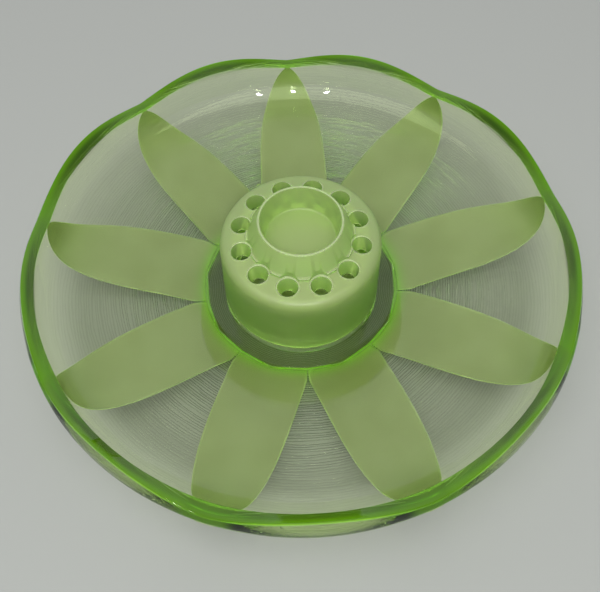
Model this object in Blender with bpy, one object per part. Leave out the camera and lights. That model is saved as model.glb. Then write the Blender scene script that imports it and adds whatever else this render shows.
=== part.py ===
"""A pressed uranium glass float bowl with its lift-out flower frog.

The bowl is one round piece of pressed glass. Its inner side is smooth, and its outer side carries
nine raised petals that run from an eighteen-sided foot to the notches between nine rim scallops.
The flower frog is a hollow drum of frosted glass that stands on the bowl's flat floor. It has a
ring of tapered stem holes around a raised cup, and it lifts straight out.

Lengths are in metres, +Z is up, and the origin is the centre of the foot, on the surface that the
bowl stands on. The first petal points along +Y.
"""

import math

import bmesh
import bpy
from mathutils import Vector

# Bowl, overall.
BOWL_RADIUS = 0.1665  # to the outermost line of the shoulder, below the rim
BOWL_HEIGHT = 0.0607  # to the top of a scallop
PETALS = 9  # one scallop lies between each two petals

# Bowl, floor and foot.
FLOOR_THICKNESS = 0.0080
FLOOR_RADIUS = 0.0620  # the flat part that the frog stands on
FOOT_CORNER_RADIUS = 0.0647  # eighteen-sided foot, at the corners under the petals' middles
FOOT_GAP_RADIUS = 0.0631  # and at the corners between two petals
FOOT_HEIGHT = 0.0022
FOOT_CHAMFER = 0.0007
FOOT_RING_WIDTH = 0.0120  # ground ring that touches the table
FOOT_RECESS = 0.0010  # the underside inside that ring is set up by this much

# Bowl, wall. Its inner line is a cubic curve from the floor to the foot of the rim.
WALL_THICKNESS = 0.0055
RIM_THICKNESS = 0.0092  # where the wall has become upright, at the shoulder
WALL_TOP_DROP = 0.0127  # end of the curve, below the top of a scallop
WALL_START_REACH = 0.60  # handles of the curve, as parts of its span
WALL_START_RISE = 0.50
WALL_END_RISE = 0.80
THICKENING_START = 0.60  # part of the wall's length where it begins to thicken

# Bowl, rim.
SCALLOP_DEPTH = 0.0092  # notch below scallop top
SCALLOP_POWER = 1.3  # above 1 makes a notch wider and a scallop more pointed
SHOULDER_DROP = 0.0150  # outermost line, below the top of a scallop
NOTCH_SET_IN = 0.0019  # rim's outer edge, in from the shoulder, at a notch
SCALLOP_LEAN = 0.0024  # and further in at a scallop's top
CREASE_SET_IN = 0.0095  # line inside the rim where its bevel begins, in from the shoulder
CREASE_DROP_NOTCH = 0.0014  # that line below the rim's edge, at a notch
CREASE_DROP_SCALLOP = 0.0053  # and at a scallop's top
RIM_ROUNDING = 0.0010
SHOULDER_BOW_IN = 0.30  # rounds the side above the shoulder: share of the way in to the rim's edge
SHOULDER_BOW_RISE = 0.60  # reached at this share of the way up to it

# Bowl, petals.
PETAL_HALF_WIDTH = 0.0237
PETAL_POWER = 5.2  # how full its sides are, and so how late it narrows to its tip
PETAL_RELIEF = 0.0006
RELIEF_STEP = math.radians(0.35)
NARROWEST = math.radians(1.0)  # half of the narrowest petal or gap in the mesh

# Flower frog.
FROG_RADIUS = 0.0508  # drum, at its foot
FROG_DRAFT = 0.0024  # drum, narrower by this much at its shoulder
FROG_SHOULDER_HEIGHT = 0.0452
FROG_PLATE_HEIGHT = 0.0513  # top plate, at the cup's ledge
FROG_PLATE_FALL = 0.0014  # top plate, lower by this much where the shoulder begins
FROG_SHOULDER_WIDTH = 0.0052
FROG_WALL = 0.0070
FROG_PLATE_THICKNESS = 0.0112
FROG_FOOT_CHAMFER = 0.0008
SEAT_GAP = 0.0003  # between the frog and the bowl's floor

# Frog's cup.
LEDGE_RADIUS = 0.0326
LEDGE_HEIGHT = 0.0021
CUP_FOOT_RADIUS = 0.0312
CUP_LIP_RADIUS = 0.0250
CUP_HEIGHT = 0.0657  # lip, above the frog's foot
CUP_LIP_WIDTH = 0.0011
CUP_FLOOR_RADIUS = 0.0215
CUP_FLOOR_HEIGHT = 0.0484  # above the frog's foot
CUP_FLOOR_FILLET = 0.0015

# Frog's stem holes.
STEM_HOLES = 12
STEM_CIRCLE_RADIUS = 0.0368
STEM_MOUTH_RADIUS = 0.0060
STEM_END_RADIUS = 0.0041
STEM_CUT_OVERRUN = 0.0060  # how far the cutters pass both faces of the plate

# Mesh.
PETAL_COLUMNS = 5
GAP_COLUMNS = 7
WALL_ROWS = 12
FROG_SEGMENTS = 72
HOLE_SEGMENTS = 20
SHOULDER_STEPS = 5
SHARPEST_SMOOTHED = math.radians(28)  # a steeper edge is shaded as a crease

SECTOR = 2 * math.pi / PETALS
EVEN_COLUMNS = SECTOR / 5  # half of a petal's share of a ring where no petal is


def clear_scene():
    """Removes whatever the file starts with."""
    for obj in list(bpy.data.objects):
        bpy.data.objects.remove(obj, do_unlink=True)


def glass(name, colour, roughness):
    """A glass with the given base colour and roughness, which lets part of the light through."""
    material = bpy.data.materials.new(name)
    material.use_nodes = True
    shader = material.node_tree.nodes["Principled BSDF"]
    shader.inputs["Base Color"].default_value = (*colour, 1.0)
    shader.inputs["Metallic"].default_value = 0.0
    shader.inputs["Roughness"].default_value = roughness
    shader.inputs["IOR"].default_value = 1.52
    shader.inputs["Transmission Weight"].default_value = 0.6
    material.diffuse_color = (*colour, 1.0)
    return material


def blend(low, high, share):
    """The value that lies share of the way from low to high."""
    return low + (high - low) * share


def smooth_share(value):
    """Eases a value from 0 to 1 with level ends."""
    share = min(max(value, 0.0), 1.0)
    return share * share * (3 - 2 * share)


class WallLine:
    """The bowl's inner line from floor to rim, read by the share of its length."""

    STEPS = 200

    def __init__(self):
        start = Vector((FLOOR_RADIUS, FLOOR_THICKNESS))
        end = Vector((BOWL_RADIUS - RIM_THICKNESS, BOWL_HEIGHT - WALL_TOP_DROP))
        span = end - start
        first = start + Vector((span.x * WALL_START_REACH, span.y * WALL_START_RISE))
        last = end - Vector((0.0, span.y * WALL_END_RISE))
        self.handles = (start, first, last, end)
        self.points = [self.at(step / self.STEPS) for step in range(self.STEPS + 1)]
        self.lengths = [0.0]
        for before, after in zip(self.points, self.points[1:]):
            self.lengths.append(self.lengths[-1] + (after - before).length)

    def at(self, t):
        start, first, last, end = self.handles
        u = 1 - t
        return u**3 * start + 3 * u * u * t * first + 3 * u * t * t * last + t**3 * end

    def read(self, share):
        """The point at this share of the length, and the unit normal out of the bowl's underside."""
        wanted = share * self.lengths[-1]
        step = 1
        while step < self.STEPS and self.lengths[step] < wanted:
            step += 1
        before, after = self.points[step - 1], self.points[step]
        part = (wanted - self.lengths[step - 1]) / (self.lengths[step] - self.lengths[step - 1])
        along = (after - before).normalized()
        return before.lerp(after, part), Vector((along.y, -along.x))

    def thickness(self, share):
        part = (share - THICKENING_START) / (1 - THICKENING_START)
        return blend(WALL_THICKNESS, RIM_THICKNESS, smooth_share(part))

    def petal_half_angle(self, share):
        """Half of a petal's width at this share of the wall's length, as an angle."""
        width = PETAL_HALF_WIDTH * (1 - share**PETAL_POWER)
        return math.asin(min(width / self.read(share)[0].x, 1.0))


def column_angles(half_petal):
    """The angles of one ring's points, and whether each lies on a petal, for petals this wide."""
    widest = SECTOR / 2 - RELIEF_STEP - NARROWEST
    half = min(max(half_petal, NARROWEST), widest)
    gap = SECTOR - 2 * half - 2 * RELIEF_STEP
    columns = []
    for petal in range(PETALS):
        middle = petal * SECTOR
        for column in range(PETAL_COLUMNS):
            share = column / (PETAL_COLUMNS - 1)
            columns.append((middle + blend(-half, half, share), True))
        for column in range(GAP_COLUMNS):
            share = column / (GAP_COLUMNS - 1)
            columns.append((middle + half + RELIEF_STEP + gap * share, False))
    return columns


def scallop(angle):
    """0 at a notch, which lies over a petal's middle, and 1 at the top of a scallop."""
    share = (angle / SECTOR) % 1.0
    return math.sin(math.pi * share) ** SCALLOP_POWER if 0 < share < 1 else 0.0


def foot_radius(angle):
    """The eighteen-sided foot's outline: straight sides between its two kinds of corner."""
    half = SECTOR / 2
    turn = (angle % SECTOR) / half
    from_petal = half * (turn if turn < 1 else 2 - turn)
    return (
        FOOT_CORNER_RADIUS
        * FOOT_GAP_RADIUS
        * math.sin(half)
        / (
            FOOT_CORNER_RADIUS * math.sin(from_petal)
            + FOOT_GAP_RADIUS * math.sin(half - from_petal)
        )
    )


def foot_rows(wall):
    """Rings of the foot, from the middle of the underside outwards, and each ring's petal width."""
    half = wall.petal_half_angle(0.0)
    ring_inside = FOOT_GAP_RADIUS - FOOT_RING_WIDTH
    return [
        (half, lambda angle, raised: (ring_inside - FOOT_RECESS, FOOT_RECESS)),
        (half, lambda angle, raised: (ring_inside, 0.0)),
        (half, lambda angle, raised: (foot_radius(angle) - FOOT_CHAMFER, 0.0)),
        (half, lambda angle, raised: (foot_radius(angle), FOOT_CHAMFER)),
        (half, lambda angle, raised: (foot_radius(angle), FOOT_HEIGHT - PETAL_RELIEF * raised)),
    ]


def outer_wall_row(wall, share):
    """One ring of the outer side, with the petals standing proud of it."""
    point, normal = wall.read(share)
    relief = PETAL_RELIEF if share < 1 else 0.0

    def place(angle, raised):
        offset = wall.thickness(share) + (relief if raised else 0.0)
        return (point.x + normal.x * offset, point.y + normal.y * offset)

    return wall.petal_half_angle(share), place


def inner_wall_row(wall, share):
    point = wall.read(share)[0]
    return EVEN_COLUMNS, lambda angle, raised: (point.x, point.y)


def rim_edge(angle):
    """Radius and height of the rim's outer edge, which rises and leans in over a scallop."""
    rise = scallop(angle)
    radius = BOWL_RADIUS - NOTCH_SET_IN - SCALLOP_LEAN * rise
    return radius, BOWL_HEIGHT - SCALLOP_DEPTH * (1 - rise)


def rim_crease(angle):
    """Radius and height of the line inside the rim where its bevel begins."""
    drop = blend(CREASE_DROP_NOTCH, CREASE_DROP_SCALLOP, scallop(angle))
    return BOWL_RADIUS - CREASE_SET_IN, rim_edge(angle)[1] - drop


def rim_rows():
    """Rings over the rim, from its shoulder up and over to the line inside it."""
    shoulder_height = BOWL_HEIGHT - SHOULDER_DROP

    def shoulder_side(angle, raised):
        radius, height = rim_edge(angle)
        return (
            blend(BOWL_RADIUS, radius, SHOULDER_BOW_IN),
            blend(shoulder_height, height, SHOULDER_BOW_RISE),
        )

    def edge_outside(angle, raised):
        radius, height = rim_edge(angle)
        return radius, height - RIM_ROUNDING

    def edge_top(angle, raised):
        radius, height = rim_edge(angle)
        return radius - RIM_ROUNDING / 2, height

    def edge_inside(angle, raised):
        radius, height = rim_edge(angle)
        inner, lower = rim_crease(angle)
        share = 2 * RIM_ROUNDING / (radius - inner)
        return blend(radius, inner, share), blend(height, lower, share)

    rows = [shoulder_side, edge_outside, edge_top, edge_inside]
    rows.append(lambda angle, raised: rim_crease(angle))
    widening = EVEN_COLUMNS / len(rows)
    return [(widening * (number + 1), row) for number, row in enumerate(rows)]


def ring_solid(name, rows, low_pole, high_pole, material):
    """A closed solid skinned over rings of points, capped by a point at each end."""
    mesh = bmesh.new()
    rings = [[mesh.verts.new(point) for point in row] for row in rows]
    count = len(rings[0])
    ends = (mesh.verts.new((0.0, 0.0, low_pole)), mesh.verts.new((0.0, 0.0, high_pole)))
    for column in range(count):
        after = (column + 1) % count
        mesh.faces.new((ends[0], rings[0][column], rings[0][after]))
        mesh.faces.new((ends[1], rings[-1][after], rings[-1][column]))
        for lower, upper in zip(rings, rings[1:]):
            mesh.faces.new((lower[column], upper[column], upper[after], lower[after]))
    bmesh.ops.triangulate(mesh, faces=[face for face in mesh.faces if len(face.verts) == 4])
    bmesh.ops.recalc_face_normals(mesh, faces=mesh.faces)
    return add_object(name, mesh, material)


def add_object(name, mesh, material):
    """Turns a bmesh into an object with smooth shading across gentle edges."""
    data = bpy.data.meshes.new(name)
    mesh.to_mesh(data)
    mesh.free()
    data.shade_smooth()
    data.set_sharp_from_angle(angle=SHARPEST_SMOOTHED)
    obj = bpy.data.objects.new(name, data)
    bpy.context.scene.collection.objects.link(obj)
    if material is not None:
        data.materials.append(material)
    return obj


def make_bowl(material):
    """The float bowl, from the middle of its underside round the rim to the middle of its floor."""
    wall = WallLine()
    rows = foot_rows(wall)
    for row in range(1, WALL_ROWS + 1):
        rows.append(outer_wall_row(wall, row / WALL_ROWS))
    rows += rim_rows()
    for row in range(WALL_ROWS, -1, -1):
        rows.append(inner_wall_row(wall, row / WALL_ROWS))
    rings = []
    for half_petal, place in rows:
        ring = []
        for angle, raised in column_angles(half_petal):
            radius, height = place(angle, raised)
            ring.append((radius * math.sin(angle), radius * math.cos(angle), height))
        rings.append(ring)
    return ring_solid("float_bowl", rings, FOOT_RECESS, FLOOR_THICKNESS, material)


def turned_rings(profile, segments):
    """Rings of points for a profile of (radius, height) turned about the vertical axis."""
    step = 2 * math.pi / segments
    return [
        [
            (radius * math.sin(step * turn), radius * math.cos(step * turn), height)
            for turn in range(segments)
        ]
        for radius, height in profile
    ]


def frog_profile():
    """The frog's turned section, from the roof of its hollow round its outside to the cup's floor."""
    roof = FROG_PLATE_HEIGHT - FROG_PLATE_THICKNESS
    top_radius = FROG_RADIUS - FROG_DRAFT
    profile = [
        (top_radius - FROG_WALL - CUP_FLOOR_FILLET, roof),
        (top_radius - FROG_WALL, roof - CUP_FLOOR_FILLET),
        (FROG_RADIUS - FROG_WALL, FROG_FOOT_CHAMFER),
        (FROG_RADIUS - FROG_WALL + FROG_FOOT_CHAMFER, 0.0),
        (FROG_RADIUS - FROG_FOOT_CHAMFER, 0.0),
        (FROG_RADIUS, FROG_FOOT_CHAMFER),
    ]
    rise = FROG_PLATE_HEIGHT - FROG_PLATE_FALL - FROG_SHOULDER_HEIGHT
    for step in range(SHOULDER_STEPS + 1):
        turn = math.pi / 2 * step / SHOULDER_STEPS
        radius = top_radius - FROG_SHOULDER_WIDTH * (1 - math.cos(turn))
        profile.append((radius, FROG_SHOULDER_HEIGHT + rise * math.sin(turn)))
    lip_inside = CUP_LIP_RADIUS - CUP_LIP_WIDTH
    profile += [
        (LEDGE_RADIUS, FROG_PLATE_HEIGHT),
        (LEDGE_RADIUS, FROG_PLATE_HEIGHT + LEDGE_HEIGHT),
        (CUP_FOOT_RADIUS, FROG_PLATE_HEIGHT + LEDGE_HEIGHT),
        (CUP_LIP_RADIUS, CUP_HEIGHT - CUP_LIP_WIDTH),
        (CUP_LIP_RADIUS - CUP_LIP_WIDTH / 2, CUP_HEIGHT),
        (lip_inside, CUP_HEIGHT - CUP_LIP_WIDTH / 2),
        (CUP_FLOOR_RADIUS, CUP_FLOOR_HEIGHT + CUP_FLOOR_FILLET),
        (CUP_FLOOR_RADIUS - CUP_FLOOR_FILLET, CUP_FLOOR_HEIGHT),
    ]
    return profile


def make_stem_cutters():
    """Tapered cutters for the stem holes, one between each two twelfths of the circle."""
    slope = (STEM_MOUTH_RADIUS - STEM_END_RADIUS) / FROG_PLATE_THICKNESS
    top = FROG_PLATE_HEIGHT + STEM_CUT_OVERRUN
    bottom = FROG_PLATE_HEIGHT - FROG_PLATE_THICKNESS - STEM_CUT_OVERRUN
    mesh = bmesh.new()
    for hole in range(STEM_HOLES):
        angle = 2 * math.pi * (hole + 0.5) / STEM_HOLES
        made = bmesh.ops.create_cone(
            mesh,
            cap_ends=True,
            segments=HOLE_SEGMENTS,
            radius1=STEM_END_RADIUS - slope * STEM_CUT_OVERRUN,
            radius2=STEM_MOUTH_RADIUS + slope * STEM_CUT_OVERRUN,
            depth=top - bottom,
        )
        place = Vector((math.sin(angle), math.cos(angle), 0.0)) * STEM_CIRCLE_RADIUS
        place.z = (top + bottom) / 2
        bmesh.ops.translate(mesh, verts=made["verts"], vec=place)
    bmesh.ops.recalc_face_normals(mesh, faces=mesh.faces)
    cutter = add_object("stem_hole_cutters", mesh, None)
    cutter.hide_render = True
    cutter.display_type = "WIRE"
    return cutter


def make_frog(material):
    """The flower frog, standing on the bowl's floor, with its origin on the axis it lifts along."""
    rings = turned_rings(frog_profile(), FROG_SEGMENTS)
    roof = FROG_PLATE_HEIGHT - FROG_PLATE_THICKNESS
    frog = ring_solid("flower_frog", rings, roof, CUP_FLOOR_HEIGHT, material)
    cutter = make_stem_cutters()
    holes = frog.modifiers.new("stem_holes", "BOOLEAN")
    holes.operation = "DIFFERENCE"
    holes.solver = "EXACT"
    holes.object = cutter
    seat = Vector((0.0, 0.0, FLOOR_THICKNESS + SEAT_GAP))
    frog.location = seat
    cutter.location = seat
    return frog


def main():
    clear_scene()
    make_bowl(glass("pressed_green_glass", (0.42, 0.68, 0.20), 0.08))
    make_frog(glass("frosted_green_glass", (0.36, 0.62, 0.16), 0.45))


main()
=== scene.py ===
"""A pressed uranium glass float bowl and its lift-out flower frog, dressed in glass.

The bowl is one pressing: clear yellow-green glass with a smooth inner side, a rippled outer side
and nine raised petals that are etched to a satin. The frog is a hollow drum, etched all over, with
twelve tapered stem holes around a raised cup. Lengths are in metres and the origin is the centre
of the bowl's foot, on the table. The first petal points along +Y.
"""

import logging
import math
from dataclasses import dataclass, field
from enum import Enum
from typing import Any, Callable

import bmesh
import bpy
import numpy as np
from mathutils import Matrix, Vector


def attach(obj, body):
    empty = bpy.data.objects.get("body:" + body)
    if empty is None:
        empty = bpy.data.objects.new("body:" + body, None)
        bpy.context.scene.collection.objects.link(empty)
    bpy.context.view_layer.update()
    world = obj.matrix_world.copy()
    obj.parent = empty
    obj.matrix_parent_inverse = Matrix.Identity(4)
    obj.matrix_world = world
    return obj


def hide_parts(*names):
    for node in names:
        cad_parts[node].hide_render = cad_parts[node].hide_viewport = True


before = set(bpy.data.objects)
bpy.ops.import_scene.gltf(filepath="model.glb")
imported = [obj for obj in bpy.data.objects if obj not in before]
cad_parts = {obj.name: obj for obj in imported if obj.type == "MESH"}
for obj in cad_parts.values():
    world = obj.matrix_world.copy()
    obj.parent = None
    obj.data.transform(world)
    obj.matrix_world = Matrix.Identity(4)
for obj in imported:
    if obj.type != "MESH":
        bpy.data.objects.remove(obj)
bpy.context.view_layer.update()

LOG = logging.getLogger("float_bowl")
MM = 0.001

Point = tuple[float, float, float]
Place = Callable[[float], Point]
Row = tuple[float, Place, float]


def linear(hex_colour: str) -> tuple[float, float, float, float]:
    """Turns an sRGB hex colour into the linear colour that a shader takes.

    Args:
        hex_colour: Six hex digits after a hash sign.

    Returns:
        Red, green, blue and an alpha of 1.
    """
    parts = [int(hex_colour[start : start + 2], 16) / 255 for start in (1, 3, 5)]
    red, green, blue = (c / 12.92 if c <= 0.04045 else ((c + 0.055) / 1.055) ** 2.4 for c in parts)
    return red, green, blue, 1.0


def add_node(tree: bpy.types.NodeTree, kind: str, settings: dict[str, Any], inputs: dict[Any, Any]) -> Any:
    """Adds a node with its settings, and links or sets its inputs.

    Args:
        tree: The node tree that gets the node.
        kind: The node's type name.
        settings: Attributes of the node.
        inputs: For each input's name or number, a socket to link from or a value to set.

    Returns:
        The new node.
    """
    node = tree.nodes.new(kind)
    for name, value in settings.items():
        setattr(node, name, value)
    for key, value in inputs.items():
        if isinstance(value, bpy.types.NodeSocket):
            tree.links.new(value, node.inputs[key])
        else:
            node.inputs[key].default_value = value
    return node


def new_finish(name: str, values: dict[str, Any]) -> tuple[bpy.types.Material, Any, Any]:
    """Makes a material with a shader that has these values.

    Args:
        name: What the material is.
        values: Values of the shader's own inputs.

    Returns:
        The material, its node tree and its shader.
    """
    material = bpy.data.materials.new(name)
    material.use_nodes = True
    shader = material.node_tree.nodes["Principled BSDF"]
    for key, value in values.items():
        shader.inputs[key].default_value = value
    return material, material.node_tree, shader


def colour_mix(tree: bpy.types.NodeTree, inputs: dict[str, Any]) -> Any:
    """Mixes two colours.

    Args:
        tree: The node tree.
        inputs: The Factor, A and B of the mix, as values or sockets.

    Returns:
        The mixed colour's socket.
    """
    numbers = {"Factor": 0, "A": 6, "B": 7}
    values = {numbers[name]: value for name, value in inputs.items()}
    return add_node(tree, "ShaderNodeMix", {"data_type": "RGBA"}, values).outputs[2]


def mix(low: float, high: float, share: float) -> float:
    """Returns the value that lies share of the way from low to high."""
    return low + (high - low) * share


def eased(value: float) -> float:
    """Returns a value held between 0 and 1, with level ends."""
    share = min(max(value, 0.0), 1.0)
    return share * share * (3 - 2 * share)


class Zone(Enum):
    """Where a strip of the bowl's outer side lies."""

    PETAL = "petal"
    GAP = "gap"


@dataclass(frozen=True)
class ClearGlass:
    """Pressed soda-lime glass with a little uranium, fire-polished.

    It passes light with a faint yellow-green tint that deepens with its depth, so the wall is nearly
    clear and the thick rim is a strong green. The rim, the foot's edge and the lowest wall also carry a
    painted green glow, though they are no lamp. The mould left fine ripples between the petals, whose
    ridges get painted shade as greyer strokes, and the foot ring is painted a darker olive as shade.
    """

    name: str = "pressed_uranium_glass"
    wall_tint: str = "#ffffff"
    rim_tint: str = "#93e000"
    # painted shade: a dark olive laid on the foot ring
    foot_shade_colour: str = "#6f8c2a"
    # painted shade: a greyer colour laid on the ripple ridges
    ripple_painted_shade: str = "#bcc5b0"
    depth_tint: str = "#d6f400"
    depth_density: float = 32.0
    # painted glow: the rim attribute drives an emission in this colour, a glow painted on though the glass is
    # no lamp
    painted_glow_colour: str = "#9cf000"
    rim_painted_glow: float = 0.24
    ior: float = 1.52
    ripple_pitch: float = 1.6 * MM
    ripple_length: float = 14 * MM
    ripple_height: float = 0.18 * MM

    def build(self) -> bpy.types.Material:
        """Builds the material.

        Returns:
            The clear glass, which reads the wall's run, the ripple, the rim (green tint and painted glow) and
            the foot_shade (painted shade) attributes.
        """
        values = {"Roughness": 0.0, "IOR": self.ior, "Transmission Weight": 1.0}
        values |= {"Emission Color": linear(self.painted_glow_colour)}
        material, tree, shader = new_finish(self.name, values)
        run = add_node(tree, "ShaderNodeUVMap", {"uv_map": "run"}, {})
        stretch = (1 / self.ripple_length, 1 / self.ripple_pitch, 1.0)
        place = add_node(tree, "ShaderNodeMapping", {}, {"Vector": run.outputs[0], "Scale": stretch})
        bands = {"Vector": place.outputs[0], "Scale": math.pi / 10, "Distortion": 7.0, "Detail": 2.0}
        bands |= {"Detail Scale": 1.2, "Detail Roughness": 0.6}
        strokes = add_node(tree, "ShaderNodeTexWave", {"bands_direction": "Y"}, bands)
        mask = add_node(tree, "ShaderNodeAttribute", {"attribute_name": "ripple"}, {})
        sharp = {"Value": strokes.outputs["Fac"], "From Min": 0.45, "From Max": 1.0}
        ridge = add_node(tree, "ShaderNodeMapRange", {"interpolation_type": "SMOOTHSTEP"}, sharp)
        held = {0: ridge.outputs[0], 1: mask.outputs["Fac"]}
        height = add_node(tree, "ShaderNodeMath", {"operation": "MULTIPLY"}, held)
        push = {"Strength": 1.0, "Distance": self.ripple_height, "Height": height.outputs[0]}
        bump = add_node(tree, "ShaderNodeBump", {}, push)
        tree.links.new(bump.outputs[0], shader.inputs["Normal"])
        # painted shade: the ripple ridges are darkened to a greyer tint
        lines = {"Factor": height.outputs[0], "A": linear(self.wall_tint), "B": linear(self.ripple_painted_shade)}
        shade_lined = colour_mix(tree, lines)
        rim = add_node(tree, "ShaderNodeAttribute", {"attribute_name": "rim"}, {})
        # painted shade: the foot ring is darkened to olive, its raised lines half as much
        foot_shade = add_node(tree, "ShaderNodeAttribute", {"attribute_name": "foot_shade"}, {})
        based = colour_mix(tree, {"Factor": foot_shade.outputs["Fac"], "A": shade_lined, "B": linear(self.foot_shade_colour)})
        tint = colour_mix(tree, {"Factor": rim.outputs["Fac"], "A": based, "B": linear(self.rim_tint)})
        tree.links.new(tint, shader.inputs["Base Color"])
        # painted glow: emission strength follows the rim attribute
        painted_glow_amount = {0: rim.outputs["Fac"], 1: self.rim_painted_glow}
        painted_glow = add_node(tree, "ShaderNodeMath", {"operation": "MULTIPLY"}, painted_glow_amount)
        tree.links.new(painted_glow.outputs[0], shader.inputs["Emission Strength"])
        depth = {"Color": linear(self.depth_tint), "Density": self.depth_density}
        absorb = add_node(tree, "ShaderNodeVolumeAbsorption", {}, depth)
        tree.links.new(absorb.outputs[0], tree.nodes["Material Output"].inputs["Volume"])
        return material


@dataclass(frozen=True)
class SatinGlass:
    """Uranium glass etched in acid, which leaves a fine matt skin.

    The skin scatters light on its way through, so the piece looks like pale green wax with a soft
    sheen. The acid bites unevenly, which leaves faint clouds.
    """

    name: str
    colour: str
    cloud_colour: str
    roughness: float = 0.45
    transmission: float = 0.5
    ior: float = 1.5
    # painted glow: an emission that brightens the piece though it is no lamp; 0 on the petals
    painted_glow_colour: str = "#94f200"
    painted_glow: float = 0.0
    cloud_size: float = 28 * MM

    def build(self) -> bpy.types.Material:
        """Builds the material.

        Returns:
            A shader whose colour drifts between two tints.
        """
        values = {"Roughness": self.roughness, "IOR": self.ior, "Transmission Weight": self.transmission}
        values |= {"Emission Color": linear(self.painted_glow_colour), "Emission Strength": self.painted_glow}
        material, tree, shader = new_finish(self.name, values)
        place = add_node(tree, "ShaderNodeTexCoord", {}, {}).outputs["Object"]
        clouds = {"Vector": place, "Scale": 1 / self.cloud_size, "Detail": 1.0}
        noise = add_node(tree, "ShaderNodeTexNoise", {}, clouds)
        spread = {"Value": noise.outputs["Fac"], "From Min": 0.35, "From Max": 0.65}
        cloud = add_node(tree, "ShaderNodeMapRange", {}, spread)
        tints = {"Factor": cloud.outputs[0], "A": linear(self.colour), "B": linear(self.cloud_colour)}
        tree.links.new(colour_mix(tree, tints), shader.inputs["Base Color"])
        return material


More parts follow.
